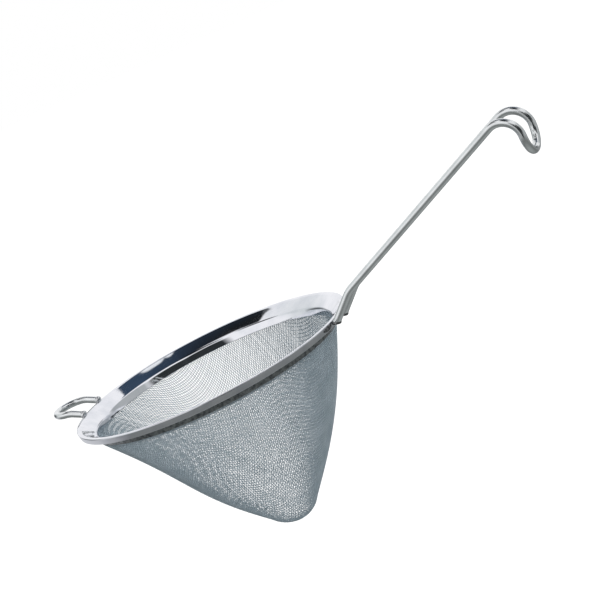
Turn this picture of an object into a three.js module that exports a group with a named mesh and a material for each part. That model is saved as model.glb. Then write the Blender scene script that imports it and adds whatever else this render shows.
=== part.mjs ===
// Fine mesh strainer: a cone of woven wire cloth held in a rolled sheet rim, with a bent wire handle
// and a rest loop opposite it. Millimetres, +Z up out of the mouth, +X along the handle, and the
// origin at the middle of the mouth, level with the top of the rim.
import * as THREE from 'three';

// Rim, pressed from sheet: rolled outer edge, sloping flange, fold and inner collar
const RIM_RADIUS = 47;
const BEAD_DIAMETER = 2.1;
const FLANGE_WIDTH = 5.6;
const FLANGE_DROP = 3.0;
const COLLAR_HEIGHT = 2.4;
const COLLAR_LEAN = 0.6;
const SHEET = 0.4;
const BAND_HEIGHT = 1.7;

// Wire cloth cone: its tip leans toward the handle, and its wall bellies out, more so in its lower half.
// The sway carries the upper half of the wall toward the handle and the lower half away from it.
const CLOTH = 0.4;
const CONE_DEPTH = 58.1;
const TIP_RADIUS = 10.3;
const WALL_BULGE = 1.7;
const WALL_SHOULDER = 0.4;
const TIP_LEAN = 3.9;
const HANDLE_SIDE_BELLY = 0.9;
const HANDLE_SIDE_SWAY = 0.6;

// Plain grid of openings through the wall of the cone, between bars of one width
const MESH_COLUMNS = 22;
const MESH_ROWS = 8;
const MESH_BAR = 1.7;

// Handle, one round wire bent double: its legs spread from the rim to a hook at the far end.
// The seat is how far a leg's middle line passes above the middle of the rolled edge.
const HANDLE_WIRE = 2.5;
const HANDLE_SEAT = -1.5;
const HANDLE_ROOT_SPACING = 7;
const HANDLE_HOOK_SPACING = 12;
const LEG_RISE = THREE.MathUtils.degToRad(43);
const LEG_LENGTH = 10;
const HANDLE_BEND = 10;
const HANDLE_RISE = THREE.MathUtils.degToRad(25.6);
const SHAFT_LENGTH = 69;
const HOOK_RADIUS = 5.95;
const HOOK_TURN = THREE.MathUtils.degToRad(118);

// Rest loop, one round wire bent to a U that rises from the rim and levels off
const LOOP_WIRE = 2.3;
const LOOP_SEAT = 1.0;
const LOOP_SPACING = 11.6;
const LOOP_RISE = THREE.MathUtils.degToRad(21.5);
const LOOP_LEG_LENGTH = 3.1;
const LOOP_BEND = 8.8;
const LOOP_TIP_RISE = THREE.MathUtils.degToRad(3.7);

// Weld ring round the end of each leg, where it meets the rolled edge
const WELD_RADIUS = 0.3;

// Clearance between pieces that touch on the real object
const GAP = 0.25;

// Fineness of the facets
const RING_SEGMENTS = 60;
const BEAD_STEP = THREE.MathUtils.degToRad(30);
const BEND_STEP = THREE.MathUtils.degToRad(16);
const WIRE_SIDES = 10;
const WELD_SIDES = 6;
const WELD_SEGMENTS = 16;
const TIP_STEPS = 4;
const MESH_SPLITS = 3;

const point = (x, y) => new THREE.Vector2(x, y);
const heading = (angle) => point(Math.cos(angle), Math.sin(angle));
const along = (start, direction, distance) => start.clone().addScaledVector(direction, distance);

/** The point where two straight lines in a section meet, each given by a point and a direction. */
function crossing(p, d, q, e) {
  const reach = q.clone().sub(p).cross(e) / d.cross(e);
  return along(p, d, reach);
}

/** Points on an arc of a section, from one angle to another, both ends included. */
function arcPoints(centre, radius, from, to, step) {
  const count = Math.max(1, Math.ceil(Math.abs(to - from) / step));
  const angles = Array.from({ length: count + 1 }, (_, i) => from + ((to - from) * i) / count);
  return angles.map((angle) => along(centre, heading(angle), radius));
}

/** A solid of revolution about Z from a section's outline, given as radius and height. */
function revolved(outline) {
  return new THREE.LatheGeometry(outline, RING_SEGMENTS).rotateX(Math.PI / 2);
}

// Section of the rim, shared by the pieces that fit to it
const beadRadius = BEAD_DIAMETER / 2;
const beadCentre = point(RIM_RADIUS - beadRadius, -beadRadius);
const fold = point(RIM_RADIUS - FLANGE_WIDTH, -FLANGE_DROP);
const foldToBead = beadCentre.clone().sub(fold);
const flangeSlope = foldToBead.angle() + Math.asin(beadRadius / foldToBead.length());
const flangeRun = heading(flangeSlope);
const flangeDown = heading(flangeSlope - Math.PI / 2);
const collarRun = point(-COLLAR_LEAN, -COLLAR_HEIGHT).normalize();
const collarOut = point(-collarRun.y, collarRun.x);
const collarLength = Math.hypot(COLLAR_LEAN, COLLAR_HEIGHT);

// Layers at the collar, from its inner face outward: collar sheet, cloth, clamp band
const clothIn = SHEET + GAP;
const clothOut = clothIn + CLOTH;
const bandIn = clothOut + GAP;

/** A point at a distance out from the collar's inner face and a distance down from the fold. */
const layer = (out, down) => along(along(fold, collarOut, out), collarRun, down);

/** The highest point of a layer that stays clear of the flange by a clearance. */
function layerTop(out, clearance) {
  const under = along(fold, flangeDown, SHEET + clearance);
  return crossing(under, flangeRun, layer(out, 0), collarRun);
}

const bandTop = layerTop(bandIn, GAP);
const bandFoot = along(bandTop, collarRun, BAND_HEIGHT);
const bandThickness = collarOut.clone().multiplyScalar(SHEET);

/** The upper rim ring: collar, fold, flange and rolled edge in one sheet. */
function rimFlange() {
  const tangent = flangeSlope + Math.PI / 2;
  const underside = tangent + Math.acos((beadRadius - SHEET) / beadRadius) - 2 * Math.PI;
  const innerEdge = arcPoints(beadCentre, beadRadius, tangent, Math.PI / 2, BEAD_STEP);
  const outerEdge = arcPoints(beadCentre, beadRadius, Math.PI / 2, underside, BEAD_STEP).slice(1);
  const foot = layer(0, collarLength);
  const inside = [foot, fold, ...innerEdge];
  const outside = [...outerEdge, layerTop(SHEET, 0), layer(SHEET, collarLength), foot];
  return revolved([...inside, ...outside].reverse());
}

/** The outer ring that pinches the cloth's edge against the collar. */
function clampBand() {
  const outline = [
    bandTop,
    bandFoot,
    bandFoot.clone().add(bandThickness),
    bandTop.clone().add(bandThickness),
    bandTop,
  ];
  return revolved(outline);
}

/** The middle of the cloth's thickness in section: tip, edges of each row of openings, clamped edge. */
function clothMiddle() {
  const out = (clothIn + clothOut) / 2;
  const radius = TIP_RADIUS - CLOTH / 2;
  const centre = point(0, TIP_RADIUS - CONE_DEPTH);
  const foot = layer(out, collarLength);
  const toFoot = foot.clone().sub(centre);
  const leave = toFoot.angle() - Math.acos(radius / toFoot.length());
  const tip = arcPoints(centre, radius, -Math.PI / 2, leave, (leave + Math.PI / 2) / TIP_STEPS);
  const start = tip.at(-1);
  const chord = foot.clone().sub(start);
  const outward = heading(leave);
  const bar = MESH_BAR / chord.length();
  const opening = 1 / MESH_ROWS - bar;
  const lowEdges = Array.from({ length: MESH_ROWS }, (_, row) => row / MESH_ROWS + bar / 2);
  const wall = [...lowEdges.flatMap((share) => [share, share + opening]), 1].map((share) => {
    const belly = WALL_BULGE * Math.sin(Math.PI * share) + WALL_SHOULDER * Math.sin(2 * Math.PI * share);
    return along(along(start, chord, share), outward, belly);
  });
  return [...tip, ...wall, layer(out, layerTop(out, GAP).sub(layer(out, 0)).dot(collarRun) + CLOTH / 2)];
}

/** The section moved sideways by half the cloth's thickness, to one side of its middle. */
function clothFace(middle, side) {
  return middle.map((here, i) => {
    const before = middle[Math.max(i - 1, 0)];
    const after = middle[Math.min(i + 1, middle.length - 1)];
    const run = i === 0 ? point(1, 0) : after.clone().sub(before).normalize();
    return along(here, point(run.y, -run.x), (side * CLOTH) / 2);
  });
}

/** How far the cloth's section at a height is carried toward the handle. */
function clothLean(height) {
  const top = layer(0, collarLength).y;
  const depth = THREE.MathUtils.clamp((top - height) / (top + CONE_DEPTH), 0, 1);
  const belly = HANDLE_SIDE_BELLY * Math.sin(Math.PI * depth);
  return TIP_LEAN * depth + belly + HANDLE_SIDE_SWAY * Math.sin(2 * Math.PI * depth);
}

/** The cloth's closed shell: two faces a thickness apart, joined round each opening and along the edge. */
class ClothShell {
  constructor() {
    this.middle = clothMiddle();
    this.places = [];
    this.corners = [];
    this.outer = this.rings(1);
    this.inner = this.rings(-1);
  }

  /** Angles round the axis at a station: both edges of each bar, and the middle of each opening. */
  angles(station) {
    const pitch = (2 * Math.PI) / MESH_COLUMNS;
    const halfBar = MESH_BAR / 2 / Math.max(this.middle[station].x, this.middle[TIP_STEPS].x);
    const bars = Array.from({ length: MESH_COLUMNS }, (_, column) => column * pitch);
    return bars.flatMap((bar) => [bar - halfBar, bar + halfBar, bar + pitch / 2]);
  }

  /** One face of the cloth as rings of corners, a single corner at the pole of the tip. */
  rings(side) {
    return clothFace(this.middle, side).map((section, station) => {
      const angles = this.angles(station);
      if (station === 0) return angles.fill(this.corner(section, 0));
      return angles.map((angle) => this.corner(section, angle));
    });
  }

  corner(section, angle) {
    const across = section.x * Math.cos(angle) + clothLean(section.y);
    return this.places.push(across, section.x * Math.sin(angle), section.y) / 3 - 1;
  }

  /** Whether a cell lies between the edges of a row of openings and between two bars. */
  isOpen(station, column) {
    const step = station - TIP_STEPS - 1;
    const inRow = step >= 0 && step < 2 * MESH_ROWS && step % 2 === 0;
    return inRow && column % MESH_SPLITS !== 0;
  }

  quad(a, b, c, d) {
    if (a !== b) this.corners.push(a, b, c);
    if (c !== d) this.corners.push(a, c, d);
  }

  /** The narrow face from the outer to the inner side of the cloth, along one edge of a cell. */
  wall([k, m], [l, n]) {
    this.quad(this.outer[k][m], this.outer[l][n], this.inner[l][n], this.inner[k][m]);
  }

  cell(k, m, next, before) {
    if (!this.isOpen(k, m)) {
      this.quad(this.outer[k][m], this.outer[k][next], this.outer[k + 1][next], this.outer[k + 1][m]);
      this.quad(this.inner[k][next], this.inner[k][m], this.inner[k + 1][m], this.inner[k + 1][next]);
      return;
    }
    this.wall([k, m], [k, next]);
    this.wall([k + 1, next], [k + 1, m]);
    if (!this.isOpen(k, next)) this.wall([k, next], [k + 1, next]);
    if (!this.isOpen(k, before)) this.wall([k + 1, m], [k, m]);
  }

  geometry() {
    const last = this.middle.length - 1;
    const columns = MESH_SPLITS * MESH_COLUMNS;
    for (let column = 0; column < columns; column += 1) {
      const next = (column + 1) % columns;
      const before = (column + columns - 1) % columns;
      for (let station = 0; station < last; station += 1) this.cell(station, column, next, before);
      this.wall([last, column], [last, next]);
    }
    const shell = new THREE.BufferGeometry().setIndex(this.corners);
    shell.setAttribute('position', new THREE.Float32BufferAttribute(this.places, 3));
    shell.computeVertexNormals();
    return shell;
  }
}

/** A wire's centre line through its stations, with one extrusion step from each to the next. */
class WirePath extends THREE.Curve {
  constructor(stations) {
    super();
    this.stations = stations;
  }

  getPoint(t, target = new THREE.Vector3()) {
    const place = t * (this.stations.length - 1);
    const index = Math.min(Math.floor(place), this.stations.length - 2);
    return target.lerpVectors(this.stations[index], this.stations[index + 1], place - index);
  }

  getUtoTmapping(u) {
    return u;
  }
}

/** Where a leg meets the rolled edge: the line it comes in on, and how near its pieces can stand. */
class LegRoot {
  constructor(wire, seat, rise, spacing) {
    const innerSide = spacing / 2 - wire / 2 - GAP - 2 * WELD_RADIUS;
    const bead = point(Math.sqrt(beadCentre.x ** 2 - innerSide ** 2), beadCentre.y);
    this.seat = seat;
    this.rise = rise;
    this.half = spacing / 2;
    this.foot = along(bead, heading(rise + Math.PI / 2), seat);
  }

  /** The point on the leg's line where something as thick as given clears the rolled edge. */
  stand(thickness, halfWidth) {
    const reach = beadRadius + GAP + thickness;
    const beside = Math.max(Math.abs(this.seat) - halfWidth, 0);
    return along(this.foot, heading(this.rise), Math.sqrt(reach ** 2 - beside ** 2));
  }
}

/** Bends one leg of a wire, from its root at the rim, keeping half the spacing of the two legs. */
class LegBend {
  constructor(root, wire) {
    this.direction = root.rise;
    this.half = root.half;
    this.stations = [];
    this.reach(root.stand(0, wire / 2));
  }

  reach(place) {
    this.place = place;
    this.stations.push(new THREE.Vector3(place.x, this.half, place.y));
  }

  straight(length, halfAtEnd = this.half) {
    this.half = halfAtEnd;
    this.reach(along(this.place, heading(this.direction), length));
    return this;
  }

  arc(radius, turn) {
    const side = (Math.sign(turn) * Math.PI) / 2;
    const centre = along(this.place, heading(this.direction + side), radius);
    const from = this.direction - side;
    const bend = arcPoints(centre, radius, from, from + turn, BEND_STEP).slice(1);
    bend.forEach((place) => this.reach(place));
    this.direction += turn;
    return this;
  }
}

/** A round wire along one leg, round a U-turn as wide as the legs are apart, and back on the other. */
function doubledWire(leg, wire) {
  const { stations, place, half } = leg;
  const run = heading(leg.direction);
  const turn = arcPoints(point(0, 0), half, 0, Math.PI, BEND_STEP).slice(1, -1);
  const round = turn.map((p) => new THREE.Vector3(place.x + run.x * p.y, p.x, place.y + run.y * p.y));
  const back = stations.map((p) => new THREE.Vector3(p.x, -p.y, p.z)).reverse();
  const path = new WirePath([...stations, ...round, ...back]);
  const section = new THREE.Shape().absarc(0, 0, wire / 2, 0, 2 * Math.PI);
  return new THREE.ExtrudeGeometry(section, {
    steps: path.stations.length - 1,
    curveSegments: WIRE_SIDES / 2,
    extrudePath: path,
  });
}

const handleRoot = new LegRoot(HANDLE_WIRE, HANDLE_SEAT, LEG_RISE, HANDLE_ROOT_SPACING);
const loopRoot = new LegRoot(LOOP_WIRE, LOOP_SEAT, LOOP_RISE, LOOP_SPACING);

/** The handle: legs, straight grip and hook. */
function handleWire() {
  const leg = new LegBend(handleRoot, HANDLE_WIRE)
    .straight(LEG_LENGTH)
    .arc(HANDLE_BEND, HANDLE_RISE - LEG_RISE)
    .straight(SHAFT_LENGTH, HANDLE_HOOK_SPACING / 2)
    .arc(HOOK_RADIUS, -HOOK_TURN);
  return doubledWire(leg, HANDLE_WIRE);
}

/** The rest loop: rising legs that level off, and a U-turn. */
function restLoop() {
  const leg = new LegBend(loopRoot, LOOP_WIRE)
    .straight(LOOP_LEG_LENGTH)
    .arc(LOOP_BEND, LOOP_TIP_RISE - LOOP_RISE);
  return doubledWire(leg, LOOP_WIRE);
}

/** A weld ring round one leg, as near the rolled edge as it can stand. */
function weldRing(root, wire, side) {
  const ringRadius = wire / 2 + GAP + WELD_RADIUS;
  const middle = root.stand(WELD_RADIUS, ringRadius);
  return new THREE.TorusGeometry(ringRadius, WELD_RADIUS, WELD_SIDES, WELD_SEGMENTS)
    .rotateY(Math.PI / 2 - root.rise)
    .translate(middle.x, side * root.half, middle.y);
}

const rimSteel = new THREE.MeshStandardMaterial({ color: 0xd9dce0, roughness: 0.1, metalness: 1 });
const wireSteel = new THREE.MeshStandardMaterial({ color: 0xcfd2d5, roughness: 0.16, metalness: 1 });
const clothSteel = new THREE.MeshStandardMaterial({ color: 0xa9b0b6, roughness: 0.35, metalness: 1 });
const weldSteel = new THREE.MeshStandardMaterial({ color: 0x8d8f90, roughness: 0.5, metalness: 1 });

/** A named piece of the strainer. */
function piece(name, geometry, material) {
  const mesh = new THREE.Mesh(geometry, material);
  mesh.name = name;
  return mesh;
}

const bowl = new THREE.Group();
bowl.add(
  piece('mesh_cone', new ClothShell().geometry(), clothSteel),
  piece('rim_flange', rimFlange(), rimSteel),
  piece('clamp_band', clampBand(), rimSteel),
);

const handle = new THREE.Group();
handle.add(
  piece('handle_wire', handleWire(), wireSteel),
  piece('handle_weld_left', weldRing(handleRoot, HANDLE_WIRE, 1), weldSteel),
  piece('handle_weld_right', weldRing(handleRoot, HANDLE_WIRE, -1), weldSteel),
);

const rest = new THREE.Group();
rest.rotation.z = Math.PI;
rest.add(
  piece('rest_loop', restLoop(), wireSteel),
  piece('loop_weld_left', weldRing(loopRoot, LOOP_WIRE, -1), weldSteel),
  piece('loop_weld_right', weldRing(loopRoot, LOOP_WIRE, 1), weldSteel),
);

const strainer = new THREE.Group();
strainer.add(bowl, handle, rest);

export default strainer;
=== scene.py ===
"""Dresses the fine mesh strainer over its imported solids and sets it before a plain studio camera."""

import logging
import math
from collections.abc import Iterator, Sequence
from contextlib import contextmanager
from dataclasses import dataclass
from enum import Enum

import bpy
import numpy as np
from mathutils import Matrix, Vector


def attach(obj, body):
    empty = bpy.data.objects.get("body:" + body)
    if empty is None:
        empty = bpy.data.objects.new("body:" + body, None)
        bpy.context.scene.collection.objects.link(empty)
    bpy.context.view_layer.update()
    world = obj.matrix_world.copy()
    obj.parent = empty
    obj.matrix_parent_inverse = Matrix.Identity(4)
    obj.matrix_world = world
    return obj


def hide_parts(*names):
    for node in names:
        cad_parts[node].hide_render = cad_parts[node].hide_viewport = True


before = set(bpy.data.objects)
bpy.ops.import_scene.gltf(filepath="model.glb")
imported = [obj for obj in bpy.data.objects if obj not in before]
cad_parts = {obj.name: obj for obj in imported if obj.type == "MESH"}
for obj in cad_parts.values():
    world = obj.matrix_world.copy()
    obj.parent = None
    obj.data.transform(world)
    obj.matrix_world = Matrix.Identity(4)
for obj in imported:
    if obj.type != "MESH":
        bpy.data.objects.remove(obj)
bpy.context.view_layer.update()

LOG = logging.getLogger("strainer")
MM = 0.001
BODY = "root"
MERGE_DISTANCE = 1e-7
MIX_UNDER = 6
MIX_OVER = 7
MIX_RESULT = 2
CLOUD_DETAIL = 4.0
GRAIN_DETAIL = 2.0
DENT_DETAIL = 1.0
NOISE_LOW = 0.3
NOISE_HIGH = 0.7
DULL_STOP = 0.35
PALE_STOP = 0.62
Colour = tuple[float, float, float]
Triple = tuple[float, float, float]
Plan = tuple[float, float]
Piece = bpy.types.Object
Socket = bpy.types.NodeSocket


class Slot(Enum):
    """The record's material slots."""

    RIM = "rim_steel"
    WIRE = "wire_steel"
    WELD = "weld_steel"
    CLOTH = "wire_cloth"


class Side(Enum):
    """The two legs of a doubled wire, by the sign of their Y."""

    LEFT = 1
    RIGHT = -1


class Family(Enum):
    """The two sets of wires that a woven cloth is made of."""

    WARP = "cloth_warp"
    WEFT = "cloth_weft"


class NodeBoard:
    """A node tree that is filled one node at a time."""

    def __init__(self, tree: bpy.types.NodeTree) -> None:
        """Empties the tree."""
        self.tree = tree
        tree.nodes.clear()

    def add(self, kind: str, **settings: object) -> bpy.types.Node:
        """Adds a node.

        Args:
            kind: Blender's name of the node's type.
            settings: The node's properties by name.

        Returns:
            The new node.
        """
        node = self.tree.nodes.new(kind)
        for name, value in settings.items():
            setattr(node, name, value)
        return node

    def join(self, start: Socket, end: Socket) -> None:
        """Links an output to an input."""
        self.tree.links.new(start, end)

    def ramp(self, source: Socket, stops: Sequence[tuple[float, Colour]]) -> Socket:
        """Adds a colour ramp.

        Args:
            source: The output that drives the ramp.
            stops: Place and colour of each stop, in order.

        Returns:
            The ramp's colour output.
        """
        node = self.add("ShaderNodeValToRGB")
        elements = node.color_ramp.elements
        while len(elements) < len(stops):
            elements.new(1.0)
        for element, (place, colour) in zip(elements, stops):
            element.position = place
            element.color = (*colour, 1.0)
        self.join(source, node.inputs["Fac"])
        return node.outputs["Color"]

    def feed(self, end: Socket, source: Socket | Colour) -> None:
        """Links an output to an input, or sets the input to a colour."""
        if isinstance(source, tuple):
            end.default_value = (*source, 1.0)
        else:
            self.join(source, end)

    def bump(self, height: Socket, depth: float) -> bpy.types.Node:
        """Adds relief.

        Args:
            height: The output that the relief follows.
            depth: How deep it is, in metres.

        Returns:
            The bump node.
        """
        node = self.add("ShaderNodeBump")
        node.inputs["Strength"].default_value = 1.0
        node.inputs["Distance"].default_value = depth
        self.join(height, node.inputs["Height"])
        return node

    def between(
        self, value: Socket, low: float, high: float, first: float = 0.0, last: float = 1.0
    ) -> Socket:
        """Maps a range of a value to another range.

        Args:
            value: The output to map.
            low: Where the range starts.
            high: Where it ends.
            first: Result at its start and before.
            last: Result at its end and after.

        Returns:
            The mapped output.
        """
        node = self.add("ShaderNodeMapRange")
        node.inputs["From Min"].default_value = low
        node.inputs["From Max"].default_value = high
        node.inputs["To Min"].default_value = first
        node.inputs["To Max"].default_value = last
        self.join(value, node.inputs["Value"])
        return node.outputs["Result"]

    def toward(self, place: Socket, way: Triple) -> Socket:
        """How far a direction points one way.

        Args:
            place: The direction's output.
            way: The direction to compare it with.

        Returns:
            The dot product of the two.
        """
        node = self.add("ShaderNodeVectorMath", operation="DOT_PRODUCT")
        node.inputs[1].default_value = way
        self.join(place, node.inputs[0])
        return node.outputs["Value"]

    def combine(self, operation: str, one: Socket, other: Socket) -> Socket:
        """Works out one value from two and keeps it between 0 and 1.

        Args:
            operation: Blender's name of the operation.
            one: The first value.
            other: The second value.

        Returns:
            The result.
        """
        node = self.add("ShaderNodeMath", operation=operation, use_clamp=True)
        self.join(one, node.inputs[0])
        self.join(other, node.inputs[1])
        return node.outputs["Value"]

    def seen(self, level: float) -> Socket:
        """A level for rays that come from the eye, a reflection or through glass.

        Args:
            level: The value for such rays. Others get 0.

        Returns:
            The value output.
        """
        path = self.add("ShaderNodeLightPath").outputs
        direct = self.combine("ADD", path["Is Camera Ray"], path["Is Glossy Ray"])
        either = self.combine("ADD", direct, path["Is Transmission Ray"])
        return self.between(either, 0.0, 1.0, 0.0, level)

    def blend(self, share: Socket, under: Socket | Colour, over: Socket) -> Socket:
        """Lays one colour over another.

        Args:
            share: How much of the upper colour shows.
            under: The lower colour.
            over: The upper colour.

        Returns:
            The blended colour.
        """
        node = self.add("ShaderNodeMix", data_type="RGBA")
        self.join(share, node.inputs["Factor"])
        self.feed(node.inputs[MIX_UNDER], under)
        self.feed(node.inputs[MIX_OVER], over)
        return node.outputs[MIX_RESULT]


@dataclass(frozen=True)
class SteelFinish:
    """A stainless steel surface: its tint, polish, fine grain, slow dents and share of mirrored light."""

    name: str
    slot: Slot
    pale: Colour
    dull: Colour
    smooth: float
    rough: float
    cloud_size: float
    grain_size: Triple
    grain_depth: float
    dent_size: float
    dent_depth: float
    mirror: float = 1.0

    def noise(self, board: NodeBoard, size: Triple, detail: float) -> Socket:
        """Adds a noise pattern in the piece's own space.

        Args:
            board: The node tree.
            size: Length of the pattern's features along X, Y and Z, in metres.
            detail: How many finer layers the noise has.

        Returns:
            The noise's value output.
        """
        place = board.add("ShaderNodeTexCoord")
        mapping = board.add("ShaderNodeMapping")
        mapping.inputs["Scale"].default_value = [1 / length for length in size]
        pattern = board.add("ShaderNodeTexNoise")
        pattern.inputs["Scale"].default_value = 1.0
        pattern.inputs["Detail"].default_value = detail
        board.join(place.outputs["Object"], mapping.inputs["Vector"])
        board.join(mapping.outputs["Vector"], pattern.inputs["Vector"])
        return pattern.outputs["Fac"]

    def material(self) -> bpy.types.Material:
        """Makes the finish.

        Returns:
            A material with the tint, roughness and relief of this steel.
        """
        material = bpy.data.materials.new(self.name)
        material.use_nodes = True
        board = NodeBoard(material.node_tree)
        output = board.add("ShaderNodeOutputMaterial")
        shader = board.add("ShaderNodeBsdfPrincipled")
        shader.inputs["Metallic"].default_value = self.mirror
        clouds = self.noise(board, (self.cloud_size,) * 3, CLOUD_DETAIL)
        grain = self.noise(board, self.grain_size, GRAIN_DETAIL)
        dents = self.noise(board, (self.dent_size,) * 3, DENT_DETAIL)
        slow = board.bump(dents, self.dent_depth)
        fine = board.bump(grain, self.grain_depth)
        tint = board.ramp(clouds, [(DULL_STOP, self.dull), (PALE_STOP, self.pale)])
        polish = board.between(grain, NOISE_LOW, NOISE_HIGH, self.smooth, self.rough)
        board.join(tint, shader.inputs["Base Color"])
        board.join(polish, shader.inputs["Roughness"])
        board.join(slow.outputs["Normal"], fine.inputs["Normal"])
        board.join(fine.outputs["Normal"], shader.inputs["Normal"])
        board.join(shader.outputs["BSDF"], output.inputs["Surface"])
        return material


POLISHED_SHEET = SteelFinish(
    name="polished_sheet",
    slot=Slot.RIM,
    pale=(0.86, 0.87, 0.90),
    dull=(0.74, 0.76, 0.80),
    smooth=0.03,
    rough=0.08,
    cloud_size=6 * MM,
    grain_size=(1.5 * MM, 1.5 * MM, 0.3 * MM),
    grain_depth=0.0008 * MM,
    dent_size=16 * MM,
    dent_depth=0.25 * MM,
)
DRAWN_WIRE = SteelFinish(
    name="drawn_wire",
    slot=Slot.WIRE,
    pale=(0.84, 0.86, 0.86),
    dull=(0.74, 0.76, 0.76),
    smooth=0.15,
    rough=0.24,
    cloud_size=4 * MM,
    grain_size=(6 * MM, 0.25 * MM, 0.25 * MM),
    grain_depth=0.002 * MM,
    dent_size=9 * MM,
    dent_depth=0.06 * MM,
)
# The handle's welds are coloured nearly black: painted shade for the gap where the legs meet the rolled
# edge.
DARK_WELD_SHADE = SteelFinish(
    name="dark_weld_shade",
    slot=Slot.WELD,
    pale=(0.30, 0.30, 0.30),
    dull=(0.06, 0.065, 0.07),
    smooth=0.28,
    rough=0.5,
    cloud_size=0.7 * MM,
    grain_size=(0.35 * MM, 0.35 * MM, 0.35 * MM),
    grain_depth=0.05 * MM,
    dent_size=1.2 * MM,
    dent_depth=0.08 * MM,
)
CLEAN_WELD = SteelFinish(
    name="clean_weld",
    slot=Slot.WELD,
    pale=(0.82, 0.83, 0.84),
    dull=(0.62, 0.63, 0.64),
    smooth=0.2,
    rough=0.35,
    cloud_size=0.9 * MM,
    grain_size=(0.5 * MM, 0.5 * MM, 0.5 * MM),
    grain_depth=0.02 * MM,
    dent_size=1.2 * MM,
    dent_depth=0.04 * MM,
)
CLOTH_WIRE = SteelFinish(
    name="cloth_wire",
    slot=Slot.CLOTH,
    pale=(0.515, 0.60, 0.655),
    dull=(0.43, 0.52, 0.575),
    smooth=0.3,
    rough=0.45,
    cloud_size=5 * MM,
    grain_size=(0.6 * MM, 0.6 * MM, 0.6 * MM),
    grain_depth=0.004 * MM,
    dent_size=2 * MM,
    dent_depth=0.01 * MM,
    mirror=0.55,
)
# The clamp band's sheet is coloured dark and dull: painted shade for the shadow under the rolled edge,
# between the rim and the cloth.
BAND_SHEET_PAINTED_SHADE = SteelFinish(
    name="band_sheet_painted_shade",
    slot=Slot.RIM,
    pale=(0.36, 0.38, 0.38),
    dull=(0.13, 0.14, 0.15),
    smooth=0.22,
    rough=0.4,
    cloud_size=1.1 * MM,
    grain_size=(0.8 * MM, 0.8 * MM, 0.8 * MM),
    grain_depth=0.03 * MM,
    dent_size=3 * MM,
    dent_depth=0.1 * MM,
)


class Bench:
    """Hand tools that shape a piece and hand it over to the frame."""

    @staticmethod
    def clear() -> None:
        """Leaves nothing selected."""
        bpy.ops.object.select_all(action="DESELECT")

    @staticmethod
    def hold(piece: Piece) -> None:
        """Selects one piece alone and makes it the active one."""
        Bench.clear()
        piece.select_set(True)
        bpy.context.view_layer.objects.active = piece

    @staticmethod
    @contextmanager
    def editing(piece: Piece) -> Iterator[None]:
        """Works in edit mode on one piece, with all of it selected."""
        Bench.hold(piece)
        bpy.ops.object.mode_set(mode="EDIT")
        bpy.ops.mesh.select_all(action="SELECT")
        yield
        bpy.ops.object.mode_set(mode="OBJECT")

    @staticmethod
    def lathe(profile: Sequence[Plan], segments: int) -> Piece:
        """Draws a profile one step at a time and spins it about Z.

        Args:
            profile: Radius and height of each point, in mm. It ends where it starts where it is closed.
            segments: Steps round the axis.

        Returns:
            The turned piece.
        """
        Bench.clear()
        bpy.ops.mesh.primitive_plane_add(size=MM)
        piece = bpy.context.object
        with Bench.editing(piece):
            bpy.ops.mesh.merge(type="CENTER")
            here = (0.0, 0.0)
            for step, place in enumerate(profile):
                move = ((place[0] - here[0]) * MM, 0.0, (place[1] - here[1]) * MM)
                if step == 0:
                    bpy.ops.transform.translate(value=move)
                else:
                    bpy.ops.mesh.extrude_region_move(TRANSFORM_OT_translate={"value": move})
                here = place
            bpy.ops.mesh.select_all(action="SELECT")
            bpy.ops.mesh.remove_doubles(threshold=MERGE_DISTANCE)
            bpy.ops.mesh.spin(steps=segments, angle=2 * math.pi, center=(0, 0, 0), axis=(0, 0, 1))
            bpy.ops.mesh.select_all(action="SELECT")
            bpy.ops.mesh.remove_doubles(threshold=MERGE_DISTANCE)
            bpy.ops.mesh.normals_make_consistent(inside=False)
        return piece

    @staticmethod
    def drawn(lines: Sequence[np.ndarray], thickness: float, rounding: int) -> Piece:
        """Draws round wires along lines and makes them a mesh.

        Args:
            lines: One array of points for each wire, in mm.
            thickness: The wire's diameter in mm.
            rounding: Fineness of the wire's section.

        Returns:
            The wires as one piece.
        """
        curve = bpy.data.curves.new("wires", "CURVE")
        curve.dimensions = "3D"
        curve.bevel_depth = thickness / 2 * MM
        curve.bevel_resolution = rounding
        curve.use_fill_caps = True
        for line in lines:
            spline = curve.splines.new("POLY")
            spline.points.add(len(line) - 1)
            places = np.column_stack([line * MM, np.ones(len(line))])
            spline.points.foreach_set("co", places.ravel())
            spline.use_smooth = True
        piece = bpy.data.objects.new("wires", curve)
        bpy.context.collection.objects.link(piece)
        Bench.hold(piece)
        bpy.ops.object.convert(target="MESH")
        return bpy.context.object

    @staticmethod
    def smooth(piece: Piece, angle: float) -> None:
        """Shades a piece smoothly, except where it turns by more than an angle in degrees."""
        Bench.hold(piece)
        bpy.ops.object.shade_smooth_by_angle(angle=math.radians(angle))

    @staticmethod
    def hand_over(
        piece: Piece, name: str, finish: SteelFinish, material: bpy.types.Material, *nodes: str
    ) -> None:
        """Names a finished piece, dresses it and fixes it to the frame.

        Args:
            piece: The finished piece.
            name: Its name.
            finish: The finish, which is not used.
            material: The finish's material.
            nodes: The CAD nodes that the piece stands for.
        """
        piece.name = name
        piece.data.name = name
        piece.data.materials.clear()
        piece.data.materials.append(material)
        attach(piece, BODY)
        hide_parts(*nodes)
        LOG.info("%s: %d faces", name, len(piece.data.polygons))


def turned(angle: float) -> np.ndarray:
    """The unit direction at an angle in a section."""
    return np.array([math.cos(angle), math.sin(angle)])


def arc(centre: np.ndarray, radius: float, start: float, end: float, steps: int) -> list[np.ndarray]:
    """Points of an arc in a section.

    Args:
        centre: The arc's middle.
        radius: Its radius.
        start: First angle in radians.
        end: Last angle in radians.
        steps: How many steps it has.

    Returns:
        The points, both ends included.
    """
    return [centre + radius * turned(angle) for angle in np.linspace(start, end, steps + 1)]


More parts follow.
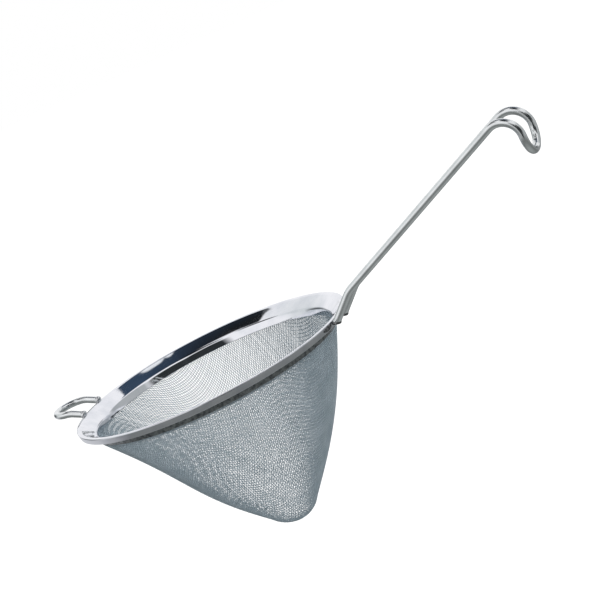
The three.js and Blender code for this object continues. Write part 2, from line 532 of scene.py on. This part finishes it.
@dataclass
class Rim:
    """The rim ring and the clamp band under it, in mm."""

    radius: float = 47.0
    bead: float = 2.1
    flange_width: float = 5.6
    flange_drop: float = 3.0
    collar_height: float = 2.4
    collar_lean: float = 0.6
    sheet: float = 0.4
    fold_radius: float = 1.5
    crest_radius: float = 1.6
    crown: float = 0.034
    lip_radius: float = 0.28
    lip_lean: float = 0.35
    foot_radius: float = 0.15
    curl_rise: float = 0.75
    band_height: float = 1.7
    cloth: float = 0.4
    gap: float = 0.25
    segments: int = 240
    corner_points: int = 9
    crown_points: int = 10
    sheet_edge: float = 0.12
    band_edge: float = 0.14
    smooth_angle: float = 40.0

    def __post_init__(self) -> None:
        """Works out the section that the other pieces fit to."""
        self.bead_radius = self.bead / 2
        self.bead_centre = np.array([self.radius - self.bead_radius, -self.bead_radius])
        self.fold = np.array([self.radius - self.flange_width, -self.flange_drop])
        span = self.bead_centre - self.fold
        reach = float(np.hypot(*span))
        self.slope = math.atan2(span[1], span[0]) + math.asin(self.bead_radius / reach)
        self.flange_run = turned(self.slope)
        self.flange_down = turned(self.slope - math.pi / 2)
        self.collar_length = math.hypot(self.collar_lean, self.collar_height)
        self.collar_run = np.array([-self.collar_lean, -self.collar_height]) / self.collar_length
        self.collar_out = np.array([-self.collar_run[1], self.collar_run[0]])
        self.cloth_middle = self.sheet + self.gap + self.cloth / 2
        self.band_inner = self.sheet + 2 * self.gap + self.cloth

    def layer(self, out: float, down: float) -> np.ndarray:
        """A point out from the collar's inner face and down from the fold."""
        return self.fold + out * self.collar_out + down * self.collar_run

    def layer_top(self, out: float, clearance: float) -> np.ndarray:
        """The highest point of a layer that is clear of the flange's underside."""
        under = self.fold + (self.sheet + clearance) * self.flange_down
        start = self.layer(out, 0)
        sides = np.column_stack([self.flange_run, -self.collar_run])
        share = np.linalg.solve(sides, start - under)
        return under + share[0] * self.flange_run

    def rounded(
        self, corner: np.ndarray, into: np.ndarray, away: np.ndarray, radius: float
    ) -> list[np.ndarray]:
        """A rounded corner of a profile.

        Args:
            corner: The sharp corner.
            into: Unit direction in which the profile comes to the corner.
            away: Unit direction in which it leaves.
            radius: Radius of the rounding.

        Returns:
            Points from the start of the rounding to its end.
        """
        turn = math.acos(float(np.clip(into @ away, -1, 1)))
        back = radius * math.tan(turn / 2)
        start = corner - back * into
        side = np.array([-into[1], into[0]])
        side = side if side @ away > 0 else -side
        centre = start + radius * side
        angles = np.linspace(0, turn, self.corner_points)
        return [centre - radius * math.cos(a) * side + radius * math.sin(a) * into for a in angles]

    def flange_profile(self) -> list[np.ndarray]:
        """The sheet's outline: collar, fold, flange, rolled edge and back along the underside."""
        foot_in = self.layer(0, self.collar_length)
        foot_out = self.layer(self.sheet, self.collar_length)
        outer_fold = self.layer_top(self.sheet, 0)
        crest = self.fold + self.flange_drop / math.sin(self.slope) * self.flange_run
        outer_top = np.array([self.radius, 0.0])
        outer_foot = np.array([self.radius - self.lip_lean, -self.bead])
        face = (outer_foot - outer_top) / float(np.hypot(*(outer_foot - outer_top)))
        curl = np.array([self.radius - self.bead, -self.bead])
        tuck = curl + np.array([0.0, self.curl_rise])
        edge = self.sheet_edge
        up = np.array([0.0, 1.0])
        out = np.array([1.0, 0.0])
        profile = self.rounded(foot_in, -self.collar_out, -self.collar_run, edge)
        profile += self.rounded(self.fold, -self.collar_run, self.flange_run, self.fold_radius)
        brink = self.rounded(crest, self.flange_run, out, self.crest_radius)
        profile += self.crowned(profile[-1], brink[0])
        profile += brink
        profile += self.rounded(outer_top, out, face, self.lip_radius)
        profile += self.rounded(outer_foot, face, -out, self.foot_radius)
        profile += self.rounded(curl, -out, up, self.foot_radius)
        profile += [tuck, tuck + np.array([self.sheet, 0.0])]
        profile += self.rounded(outer_fold, -self.flange_run, self.collar_run, self.fold_radius)
        profile += self.rounded(foot_out, self.collar_run, -self.collar_out, edge)
        return profile + [profile[0]]

    def crowned(self, start: np.ndarray, end: np.ndarray) -> list[np.ndarray]:
        """Points between the ends of the flange, which is crowned a little.

        Args:
            start: The flange's lower end.
            end: Its upper end.

        Returns:
            The points in between.
        """
        shares = np.linspace(0, 1, self.crown_points)[1:-1]
        return [start + s * (end - start) - 4 * s * (1 - s) * self.crown * self.flange_down for s in shares]

    def band_profile(self) -> list[np.ndarray]:
        """The clamp band's outline, with its edges broken."""
        top_in = self.layer_top(self.band_inner, self.gap)
        foot_in = top_in + self.band_height * self.collar_run
        foot_out = foot_in + self.sheet * self.collar_out
        top_out = top_in + self.sheet * self.collar_out
        edge = self.band_edge
        profile = self.rounded(foot_in, self.collar_run, self.collar_out, edge)
        profile += self.rounded(foot_out, self.collar_out, -self.collar_run, edge)
        profile += self.rounded(top_out, -self.collar_run, -self.collar_out, edge)
        profile += self.rounded(top_in, -self.collar_out, self.collar_run, edge)
        return profile + [profile[0]]

    def build(self) -> None:
        """Turns both rings and dresses them."""
        flange = Bench.lathe([tuple(p) for p in self.flange_profile()], self.segments)
        Bench.smooth(flange, self.smooth_angle)
        Bench.hand_over(flange, "polished_rim", POLISHED_SHEET, POLISHED_SHEET.material(), "rim_flange")
        # The clamp band is dressed in the dark sheet that paints the shade under the rim.
        band = Bench.lathe([tuple(p) for p in self.band_profile()], self.segments)
        Bench.smooth(band, self.smooth_angle)
        Bench.hand_over(band, "pressed_band", BAND_SHEET_PAINTED_SHADE, BAND_SHEET_PAINTED_SHADE.material(), "clamp_band")


@dataclass
class WovenCone:
    """The cone of woven wire cloth, in mm, fitted to the rim."""

    rim: Rim
    depth: float = 58.1
    tip_radius: float = 10.3
    bulge: float = 1.7
    shoulder: float = 0.4
    tip_lean: float = 3.9
    belly: float = 0.9
    sway: float = 0.6
    pitch: float = 0.76
    wire: float = 0.21
    turn: float = math.radians(50)
    bias_stretch: float = 0.278
    bias_swirl: float = 0.06
    flat_tip: float = 20.0
    off_centre: float = 0.16
    unevenness: float = 0.06
    seed: int = 8
    tip_steps: int = 60
    wall_steps: int = 160
    fewest_crossings: int = 3

    def __post_init__(self) -> None:
        """Works out the cloth's section as a line from the tip to the clamped edge."""
        radius = self.tip_radius - self.rim.cloth / 2
        centre = np.array([0.0, self.tip_radius - self.depth])
        foot = self.rim.layer(self.rim.cloth_middle, self.rim.collar_length)
        to_foot = foot - centre
        leave = math.atan2(to_foot[1], to_foot[0]) - math.acos(radius / float(np.hypot(*to_foot)))
        tip = arc(centre, radius, -math.pi / 2, leave, self.tip_steps)
        share = np.linspace(0, 1, self.wall_steps + 1)[1:, None]
        swell = self.bulge * np.sin(math.pi * share) + self.shoulder * np.sin(2 * math.pi * share)
        wall = tip[-1] + share * (foot - tip[-1]) + swell * turned(leave)
        edge = self.rim.layer_top(self.rim.cloth_middle, self.rim.gap)
        self.section = np.vstack([tip, wall, [edge + self.rim.cloth / 2 * self.rim.collar_run]])
        steps = np.hypot(*np.diff(self.section, axis=0).T)
        self.lengths = np.concatenate([[0.0], np.cumsum(steps)])
        run = np.gradient(self.section, self.lengths, axis=0)
        self.outward = np.column_stack([run[:, 1], -run[:, 0]])
        self.top = float(self.rim.layer(0, self.rim.collar_length)[1])
        count = int(self.lengths[-1] / (1 - self.off_centre) / self.pitch) + 1
        self.stations = np.arange(-count, count + 1)
        chance = np.random.default_rng(self.seed)
        shift = {family: chance.normal(0, self.unevenness, len(self.stations)) for family in Family}
        self.spaced = {family: (self.stations + shift[family]) * self.pitch for family in Family}

    def laid_out(self, flat: np.ndarray) -> tuple[np.ndarray, np.ndarray, np.ndarray]:
        """Where points of the flat cloth lie about the tip.

        Args:
            flat: Places in the flat cloth, one row each, in mm.

        Returns:
            How far away each lies, at which angle, and how far it is drawn out, from 0 to 1.
        """
        away = np.hypot(flat[:, 0], flat[:, 1])
        angle = np.arctan2(flat[:, 1], flat[:, 0])
        drawn = np.clip(away / self.flat_tip, 0, 1) ** 2
        return away, angle, drawn

    def reach(self, flat: np.ndarray) -> np.ndarray:
        """How far up from the tip points of the flat cloth come to lie.

        Args:
            flat: Places in the flat cloth, one row each, in mm.

        Returns:
            The length along the section for each.
        """
        away, angle, drawn = self.laid_out(flat)
        stretch = 1 + self.bias_stretch * drawn * np.sin(2 * angle) ** 2
        return away * stretch * (1 - self.off_centre * drawn * np.cos(self.turn + angle))

    def press(self, flat: np.ndarray, lift: np.ndarray) -> np.ndarray:
        """Presses points of the flat cloth onto the cone.

        Args:
            flat: Places in the flat cloth, one row each, in mm.
            lift: How far each stands out from the cloth's middle.

        Returns:
            The points in space, in mm.
        """
        length = self.reach(flat)
        _, angle, drawn = self.laid_out(flat)
        angle = self.turn + angle + self.bias_swirl * drawn * np.sin(4 * angle)
        radius = np.interp(length, self.lengths, self.section[:, 0])
        height = np.interp(length, self.lengths, self.section[:, 1])
        radius += lift * np.interp(length, self.lengths, self.outward[:, 0])
        height += lift * np.interp(length, self.lengths, self.outward[:, 1])
        depth = np.clip((self.top - height) / (self.top + self.depth), 0, 1)
        lean = self.tip_lean * depth + self.belly * np.sin(math.pi * depth)
        lean += self.sway * np.sin(2 * math.pi * depth)
        return np.column_stack([radius * np.cos(angle) + lean, radius * np.sin(angle), height])

    def wires(self, family: Family) -> list[np.ndarray]:
        """Weaves one family of wires.

        Args:
            family: Which of the two sets of wires.

        Returns:
            The points of each wire, in mm.
        """
        edge = self.lengths[-1]
        along = self.spaced[Family.WEFT if family is Family.WARP else Family.WARP]
        lines = []
        for row, shift in list(zip(self.stations, self.spaced[family]))[1:-1]:
            across = np.full(len(along), shift)
            flat = np.column_stack([across, along] if family is Family.WARP else [along, across])
            inside = np.flatnonzero(self.reach(flat) < edge)
            if len(inside) < self.fewest_crossings:
                continue
            first, last = inside[0], inside[-1]
            places = flat[first - 1 : last + 2].copy()
            length = self.reach(places)
            for end, near in ((0, 1), (-1, -2)):
                share = (edge - length[near]) / (length[end] - length[near])
                places[end] = places[near] + share * (places[end] - places[near])
            over = 1 - 2 * ((self.stations[first - 1 : last + 2] + row) % 2)
            over = over if family is Family.WARP else -over
            lift = over * self.wire / 2
            lift[0] = 0
            lift[-1] = 0
            lines.append(self.press(places, lift))
        return lines

    def build(self) -> None:
        """Weaves the cloth and dresses it."""
        material = CLOTH_WIRE.material()
        for family in Family:
            piece = Bench.drawn(self.wires(family), self.wire, rounding=0)
            Bench.hand_over(piece, family.value, CLOTH_WIRE, material, "mesh_cone")


@dataclass(frozen=True)
class WeldRun:
    """A run of dark weld along the rolled edge beside a leg, in mm; it paints the shade in the gap beside
    the leg.
    """

    beside: float
    size: Triple


@dataclass
class BentWire:
    """A round wire bent double, welded by its two ends to the rolled edge, in mm and radians."""

    rim: Rim
    wire: float
    seat: float
    rise: float
    spacing: float
    facing: int
    weld_finish: SteelFinish = DARK_WELD_SHADE
    inset: float = 0.25
    bevel: float = 0.0
    dome: float = 0.15
    runs: tuple[WeldRun, ...] = ()
    ring_wall: float = 0.6
    weld_length: float = 0.5
    weld_width: float = 0.14
    weld_tail: float = 0.35
    weld_rise: float = 0.15
    weld_jitter: float = 0.03
    weld_seed: int = 5
    weld_points: int = 8
    weld_segments: int = 28
    weld_smooth_angle: float = 60.0
    smooth_angle: float = 50.0
    step: float = math.radians(3)
    straight_steps: int = 12
    end_tolerance: float = 0.01

    def __post_init__(self) -> None:
        """Starts the wire's line at the rolled edge."""
        inner = self.spacing / 2 - self.wire / 2 - self.rim.gap - self.ring_wall
        bead = np.array([math.sqrt(self.rim.bead_centre[0] ** 2 - inner**2), self.rim.bead_centre[1]])
        self.foot = bead + self.seat * turned(self.rise + math.pi / 2)
        beside = max(abs(self.seat) - self.wire / 2, 0)
        self.stand = math.sqrt(self.rim.bead_radius**2 - beside**2)
        self.direction = self.rise
        self.place = self.foot + (self.stand - self.inset) * turned(self.rise)
        self.half = self.spacing / 2
        self.line: list[np.ndarray] = []
        self.mark()

    def mark(self) -> None:
        """Adds the present place to the line."""
        self.line.append(np.array([self.place[0], self.half, self.place[1]]))

    def straight(self, length: float, half: float) -> None:
        """Goes straight on.

        Args:
            length: How far.
            half: Half the spacing of the two legs at the end.
        """
        start, end = self.half, half
        steps = self.straight_steps
        for step in range(1, steps + 1):
            self.place = self.place + length / steps * turned(self.direction)
            self.half = start + (end - start) * step / steps
            self.mark()

    def bend(self, radius: float, angle: float) -> None:
        """Bends in the upright plane.

        Args:
            radius: Radius of the bend.
            angle: How far it turns, upward where positive.
        """
        side = math.copysign(math.pi / 2, angle)
        centre = self.place + radius * turned(self.direction + side)
        start = self.direction - side
        steps = math.ceil(abs(angle) / self.step)
        for place in arc(centre, radius, start, start + angle, steps)[1:]:
            self.place = place
            self.mark()
        self.direction += angle

    def doubled(self) -> np.ndarray:
        """The whole line: out on one leg, round the U-turn and back on the other."""
        run = turned(self.direction)
        turn = arc(np.zeros(2), self.half, 0, math.pi, math.ceil(math.pi / self.step))[1:-1]
        round_end = []
        for across, along in turn:
            place = self.place + along * run
            round_end.append(np.array([place[0], across, place[1]]))
        back = [p * np.array([1, -1, 1]) for p in reversed(self.line)]
        line = np.array(self.line + round_end + back)
        return line * np.array([self.facing, self.facing, 1])

    def weld(self, side: Side) -> Piece:
        """Lays the weld round one leg's end.

        Args:
            side: Which leg, by the sign of its Y.

        Returns:
            The weld, shaped as an uneven fillet.
        """
        radius = self.wire / 2
        share = np.linspace(0, 1, self.weld_points)
        flare = radius + self.weld_width * (1 - np.sin(share * math.pi / 2))
        cap = (radius + self.weld_width) * np.sin(share * math.pi / 2)
        depth = -self.weld_tail - self.dome * np.cos(share * math.pi / 2)
        profile = [(float(r), float(h)) for r, h in zip(cap, depth)]
        profile += [(float(r), float(h)) for r, h in zip(flare, share * self.weld_length)]
        profile += [(0.0, self.weld_length)]
        piece = Bench.lathe(profile, self.weld_segments)
        foot = self.foot + (self.stand - self.inset + self.weld_rise) * turned(self.rise)
        with Bench.editing(piece):
            bpy.ops.transform.vertex_random(offset=self.weld_jitter * MM, seed=side.value + self.weld_seed)
            bpy.ops.mesh.subdivide(number_cuts=1, smoothness=1.0)
        axis = np.array([math.cos(self.rise), 0, math.sin(self.rise)])
        across = np.array([math.sin(self.rise), 0, -math.cos(self.rise)])
        shape = np.array([v.co for v in piece.data.vertices])
        place = shape[:, 2:] * axis + shape[:, :1] * across + shape[:, 1:2] * np.array([0, 1, 0])
        place += self.slant(shape[:, :1] / MM) * axis * MM
        place += np.array([foot[0], side.value * self.spacing / 2, foot[1]]) * MM
        place *= np.array([self.facing, self.facing, 1])
        piece.data.vertices.foreach_set("co", place.ravel())
        piece.data.update()
        for run in self.runs:
            self.lay_run(piece, side, run)
        return piece

    def slant(self, below: np.ndarray) -> np.ndarray:
        """How far the slanting end of a leg is set back.

        Args:
            below: How far each point lies to the leg's underside from its middle line, in mm.

        Returns:
            The way back along the leg, in mm.
        """
        return self.bevel * np.clip(0.5 + below / self.wire, 0, 1)

    def lay_run(self, piece: Piece, side: Side, run: WeldRun) -> None:
        """Lays a run of weld along the rolled edge, beside the leg, where the dark weld paints the shade of
        that gap.

        Args:
            piece: The weld, which the run is joined to.
            side: Which leg, by the sign of its Y.
            run: The run's place and half sizes.
        """
        beside = self.spacing / 2 + run.beside
        turn = math.asin(beside / self.rim.radius)
        reach = self.rim.radius - self.rim.lip_lean / 2
        place = (reach * math.cos(turn), side.value * beside, -self.rim.bead_radius)
        Bench.clear()
        bpy.ops.mesh.primitive_uv_sphere_add(
            segments=24, ring_count=12, radius=MM, location=[length * MM for length in place]
        )
        bead = bpy.context.object
        bead.scale = run.size
        bead.rotation_euler = (0, 0, side.value * turn)
        bpy.ops.object.transform_apply(location=True, rotation=True, scale=True)
        piece.select_set(True)
        bpy.context.view_layer.objects.active = piece
        bpy.ops.object.join()

    def cut_ends(self, piece: Piece) -> None:
        """Cuts the ends of both legs at a slant, so that they lie along the rolled edge."""
        places = np.array([v.co for v in piece.data.vertices]) / MM
        start = np.array([self.line[0][0] * self.facing, 0, self.line[0][2]])
        axis = np.array([math.cos(self.rise) * self.facing, 0, math.sin(self.rise)])
        down = np.array([math.sin(self.rise) * self.facing, 0, -math.cos(self.rise)])
        at_end = np.abs((places - start) @ axis) < self.end_tolerance
        back = np.where(at_end, self.slant((places - start) @ down), 0)
        places += back[:, None] * axis
        piece.data.vertices.foreach_set("co", (places * MM).ravel())
        piece.data.update()

    def build(self, name: str, node: str, welds: dict[Side, str]) -> None:
        """Draws the wire, lays its welds and dresses them.

        Args:
            name: The wire's name.
            node: The CAD node that the wire stands for.
            welds: The CAD node of each leg's weld.
        """
        piece = Bench.drawn([self.doubled()], self.wire, rounding=8)
        self.cut_ends(piece)
        Bench.smooth(piece, self.smooth_angle)
        Bench.hand_over(piece, name, DRAWN_WIRE, DRAWN_WIRE.material(), node)
        material = self.weld_finish.material()
        for side, weld_node in welds.items():
            weld = self.weld(side)
            Bench.smooth(weld, self.weld_smooth_angle)
            Bench.hand_over(weld, "laid_" + weld_node, self.weld_finish, material, weld_node)


@dataclass
class Handle:
    """The handle: legs that spread from the rim, a straight grip and a hook, in mm."""

    rim: Rim
    wire: float = 2.5
    seat: float = -1.5
    leg_length: float = 10.0
    leg_overlap: float = 0.5
    leg_bevel: float = 1.3
    bend_radius: float = 10.0
    leg_rise: float = math.radians(43)
    grip_rise: float = math.radians(25.6)
    grip_length: float = 69.0
    root_spacing: float = 7.0
    hook_spacing: float = 12.0
    hook_radius: float = 5.95
    hook_turn: float = math.radians(118)
    # Dark runs of weld beside the legs paint the shade along the rolled edge.
    shade_weld_runs: tuple[WeldRun, ...] = (WeldRun(3.85, (0.3, 2.6, 0.75)), WeldRun(-1.8, (1.0, 2.0, 1.0)))

    def build(self) -> None:
        """Bends the wire and welds it on."""
        wire = BentWire(
            rim=self.rim,
            wire=self.wire,
            seat=self.seat,
            rise=self.leg_rise,
            spacing=self.root_spacing,
            facing=1,
            bevel=self.leg_bevel,
            runs=self.shade_weld_runs,
        )
        wire.straight(self.leg_length + self.leg_overlap, self.root_spacing / 2)
        wire.bend(self.bend_radius, self.grip_rise - self.leg_rise)
        wire.straight(self.grip_length, self.hook_spacing / 2)
        wire.bend(self.hook_radius, -self.hook_turn)
        welds = {Side.LEFT: "handle_weld_left", Side.RIGHT: "handle_weld_right"}
        wire.build("bent_handle", "handle_wire", welds)


@dataclass
class RestLoop:
    """The loop that rests on a vessel's edge: two rising legs and a U-turn, in mm."""

    rim: Rim
    wire: float = 2.3
    seat: float = 1.0
    spacing: float = 11.6
    rise: float = math.radians(21.5)
    leg_length: float = 3.1
    leg_overlap: float = 0.5
    leg_inset: float = -0.2
    bend_radius: float = 8.8
    tip_rise: float = math.radians(3.7)
    weld_dome: float = 0.7

    def build(self) -> None:
        """Bends the wire and welds it on."""
        wire = BentWire(
            rim=self.rim,
            wire=self.wire,
            seat=self.seat,
            rise=self.rise,
            spacing=self.spacing,
            facing=-1,
            weld_finish=CLEAN_WELD,
            inset=self.leg_inset,
            dome=self.weld_dome,
        )
        wire.straight(self.leg_length + self.leg_overlap, self.spacing / 2)
        wire.bend(self.bend_radius, self.tip_rise - self.rise)
        welds = {Side.LEFT: "loop_weld_right", Side.RIGHT: "loop_weld_left"}
        wire.build("bent_loop", "rest_loop", welds)


@dataclass(frozen=True)
class Fade:
    """A change across the room: the way it goes, where it starts and where it is full."""

    way: Triple
    start: float
    full: float

    def share(self, board: NodeBoard, place: Socket) -> Socket:
        """How far the change has gone in a direction.

        Args:
            board: The node tree.
            place: The direction's output.

        Returns:
            A value from 0 to 1.
        """
        return board.between(board.toward(place, self.way), self.start, self.full)


@dataclass(frozen=True)
class Card(Fade):
    """A round patch of the room that only reflections show, with the colours of its edge and middle."""

    edge: Colour
    middle: Colour


@dataclass(frozen=True)
class Lamp:
    """A soft square lamp: its place and the length of its side in metres, and its power in watts."""

    name: str
    place: Triple
    size: float
    power: float

    def hang(self, aim: Triple) -> None:
        """Hangs the lamp so that it points at a place."""
        data = bpy.data.lights.new(self.name, "AREA")
        data.size = self.size
        data.energy = self.power
        lamp = bpy.data.objects.new(self.name, data)
        lamp.location = self.place
        lamp.rotation_euler = (Vector(aim) - Vector(self.place)).to_track_quat("-Z", "Y").to_euler()
        lamp.visible_glossy = False
        bpy.context.collection.objects.link(lamp)


UP = (0.0, 0.0, 1.0)
BLACK = (0.0, 0.0, 0.0)
WHITE = (1.0, 1.0, 1.0)
ROOM = (
    (0.0, (0.34, 0.36, 0.36)),
    (0.10, (0.26, 0.275, 0.275)),
    (0.20, (0.19, 0.20, 0.20)),
    (0.30, (0.21, 0.22, 0.22)),
    (0.40, (0.36, 0.37, 0.375)),
    (0.48, (0.62, 0.63, 0.64)),
    (0.56, (0.96, 0.96, 0.98)),
)
FLOOR_TO_TOP = Fade(UP, -1.0, 1.0)
PALE_FAR = Fade((-0.72, 0.62, -0.3), 0.1, 1.0)
PALE_LOW = Fade(UP, -0.62, -0.42)
CANOPY_BACK = Fade((0.0, 1.0, 0.0), -0.03, 0.0)
CANOPY_FRONT = Fade((1.0, 0.0, 0.0), 0.0, 0.06)
CANOPY_ABOVE = Fade(UP, 0.72, 0.78)
CANOPY_SIDE = Fade((1.0, 0.5, 0.0), -0.46, -0.45)
CANOPY_INNER = Fade((-1.0, 0.0, 0.0), -0.48, -0.42)
CANOPY_DEPTH = Fade((0.3, 0.95, 0.0), -0.05, 0.45)
CARDS = (
    Card((-0.93, 0.05, 0.37), 0.78, 0.95, (0.85, 0.87, 0.88), (0.72, 0.75, 0.76)),
    Card((-0.93, 0.28, 0.08), 0.90, 0.96, (0.12, 0.13, 0.14), (0.12, 0.13, 0.14)),
    Card((-0.45, -0.3, 0.84), 0.96, 0.98, (0.05, 0.055, 0.06), (0.05, 0.055, 0.06)),
    Card((0.86, 0.45, 0.16), 0.85, 0.90, (0.50, 0.52, 0.53), (0.44, 0.46, 0.47)),
    Card((0.49, -0.866, 0.1), 0.86, 0.93, (0.07, 0.075, 0.08), (0.03, 0.034, 0.036)),
    Card((0.9, -0.38, 0.26), 0.93, 0.97, (0.07, 0.075, 0.08), (0.03, 0.034, 0.036)),
    Card((0.075, 0.39, 0.918), 0.9976, 0.9986, (0.9, 0.92, 0.94), (0.9, 0.92, 0.94)),
    Card((0.030, 0.305, 0.952), 0.9992, 0.9997, (0.9, 0.92, 0.94), (0.9, 0.92, 0.94)),
    Card((0.15, 0.98, -0.03), 0.95, 0.985, (0.10, 0.11, 0.115), (0.10, 0.11, 0.115)),
)
LAMPS = (
    Lamp("key_lamp", (0.7, 0.3, 1.0), 0.8, 7.5),
    Lamp("front_lamp", (0.85, -0.75, 0.0), 0.6, 6.2),
)


@dataclass
class Studio:
    """The floor, the light and the camera, in metres and degrees, and the lens in mm."""

    eye: Triple = (0.34009, -0.60146, 0.14662)
    turn: Triple = (77.0664, 26.1851, 20.8389)
    lens: float = 134.323
    sensor: float = 36.0
    nearest: float = 0.01
    floor_height: float = -0.17
    floor_size: float = 6.0
    floor_paint: Colour = (0.82, 0.82, 0.82)
    floor_glow: float = 0.76
    soft_light: Colour = (0.3, 0.3, 0.3)
    pale: Colour = (0.62, 0.63, 0.66)
    canopy_way: Triple = (0.283, -0.264, 0.922)
    canopy_limit: float = 0.568
    canopy_soft: float = 0.004
    canopy_ragged: float = 0.05
    ragged_scale: float = 5.0
    canopy_near: Colour = (0.012, 0.014, 0.016)
    canopy_deep: Colour = (0.04, 0.066, 0.11)
    lamp_aim: Triple = (0.02, 0.0, -0.01)

    def camera(self) -> None:
        """Sets the camera where the photograph was taken from."""
        data = bpy.data.cameras.new("camera")
        data.lens = self.lens
        data.sensor_width = self.sensor
        data.clip_start = self.nearest
        camera = bpy.data.objects.new("camera", data)
        camera.location = self.eye
        camera.rotation_euler = [math.radians(angle) for angle in self.turn]
        bpy.context.collection.objects.link(camera)
        bpy.context.scene.camera = camera

    def floor(self) -> None:
        """Lays the pale floor, which is white to the eye and keeps the shadow."""
        Bench.clear()
        bpy.ops.mesh.primitive_plane_add(size=self.floor_size, location=(0, 0, self.floor_height))
        floor = bpy.context.object
        floor.name = "floor"
        material = bpy.data.materials.new("pale_floor")
        material.use_nodes = True
        board = NodeBoard(material.node_tree)
        output = board.add("ShaderNodeOutputMaterial")
        matt = board.add("ShaderNodeBsdfDiffuse")
        matt.inputs["Color"].default_value = (*self.floor_paint, 1.0)
        glow = board.add("ShaderNodeEmission")
        both = board.add("ShaderNodeAddShader")
        board.join(board.seen(self.floor_glow), glow.inputs["Strength"])
        board.join(matt.outputs["BSDF"], both.inputs[0])
        board.join(glow.outputs["Emission"], both.inputs[1])
        board.join(both.outputs["Shader"], output.inputs["Surface"])
        floor.data.materials.append(material)
        floor.visible_glossy = False

    def room(self, board: NodeBoard, place: Socket) -> Socket:
        """The room's colour from the floor up, with a paler part low at the back.

        Args:
            board: The node tree.
            place: The direction's output.

        Returns:
            The colour in that direction.
        """
        walls = board.ramp(FLOOR_TO_TOP.share(board, place), ROOM)
        share = board.combine("MULTIPLY", PALE_FAR.share(board, place), PALE_LOW.share(board, place))
        lighter = board.add("ShaderNodeMix", data_type="RGBA", blend_type="LIGHTEN")
        lighter.inputs["Factor"].default_value = 1.0
        board.join(walls, lighter.inputs[MIX_UNDER])
        board.join(board.ramp(share, [(0.0, BLACK), (1.0, self.pale)]), lighter.inputs[MIX_OVER])
        return lighter.outputs[MIX_RESULT]

    def canopy_cover(self, board: NodeBoard, place: Socket) -> Socket:
        """Where the dark canopy overhead covers the room.

        Args:
            board: The node tree.
            place: The direction's output.

        Returns:
            A value from 0 to 1.
        """
        ragged = board.add("ShaderNodeTexNoise")
        ragged.inputs["Scale"].default_value = self.ragged_scale
        ragged.inputs["Detail"].default_value = 1.0
        board.join(place, ragged.inputs["Vector"])
        edge = board.add("ShaderNodeMath", operation="MULTIPLY_ADD")
        edge.inputs[1].default_value = self.canopy_ragged
        board.join(ragged.outputs["Fac"], edge.inputs[0])
        board.join(board.toward(place, self.canopy_way), edge.inputs[2])
        limit = self.canopy_limit + self.canopy_ragged / 2
        cover = board.between(edge.outputs["Value"], limit - self.canopy_soft, limit + self.canopy_soft)
        front = board.combine("MULTIPLY", CANOPY_FRONT.share(board, place), CANOPY_ABOVE.share(board, place))
        either = board.combine("MAXIMUM", CANOPY_BACK.share(board, place), front)
        for part in (CANOPY_SIDE.share(board, place), either, CANOPY_INNER.share(board, place)):
            cover = board.combine("MULTIPLY", cover, part)
        return cover

    def surroundings(self) -> None:
        """Sets the white room. Reflections show it grey below, with the canopy and the cards."""
        world = bpy.data.worlds.new("studio")
        bpy.context.scene.world = world
        world.use_nodes = True
        board = NodeBoard(world.node_tree)
        output = board.add("ShaderNodeOutputWorld")
        light = board.add("ShaderNodeBackground")
        place = board.add("ShaderNodeTexCoord").outputs["Generated"]
        depth = CANOPY_DEPTH.share(board, place)
        canopy = board.ramp(depth, [(0.0, self.canopy_near), (1.0, self.canopy_deep)])
        mirrored = board.blend(self.canopy_cover(board, place), self.room(board, place), canopy)
        for card in CARDS:
            share = card.share(board, place)
            colour = board.ramp(share, [(0.0, card.edge), (1.0, card.middle)])
            mirrored = board.blend(share, mirrored, colour)
        glossy = board.add("ShaderNodeLightPath").outputs["Is Glossy Ray"]
        shown = board.blend(glossy, WHITE, mirrored)
        board.join(board.blend(board.seen(1.0), self.soft_light, shown), light.inputs["Color"])
        board.join(light.outputs["Background"], output.inputs["Surface"])

    def build(self) -> None:
        """Sets up the studio."""
        self.camera()
        self.floor()
        self.surroundings()
        for lamp in LAMPS:
            lamp.hang(self.lamp_aim)
        bpy.context.scene.view_settings.view_transform = "Standard"


def main() -> None:
    """Builds the strainer piece by piece, then the studio."""
    logging.basicConfig(level=logging.INFO, format="%(name)s: %(message)s")
    rim = Rim()
    rim.build()
    WovenCone(rim).build()
    Handle(rim).build()
    RestLoop(rim).build()
    Studio().build()


if __name__ == "__main__":
    main()
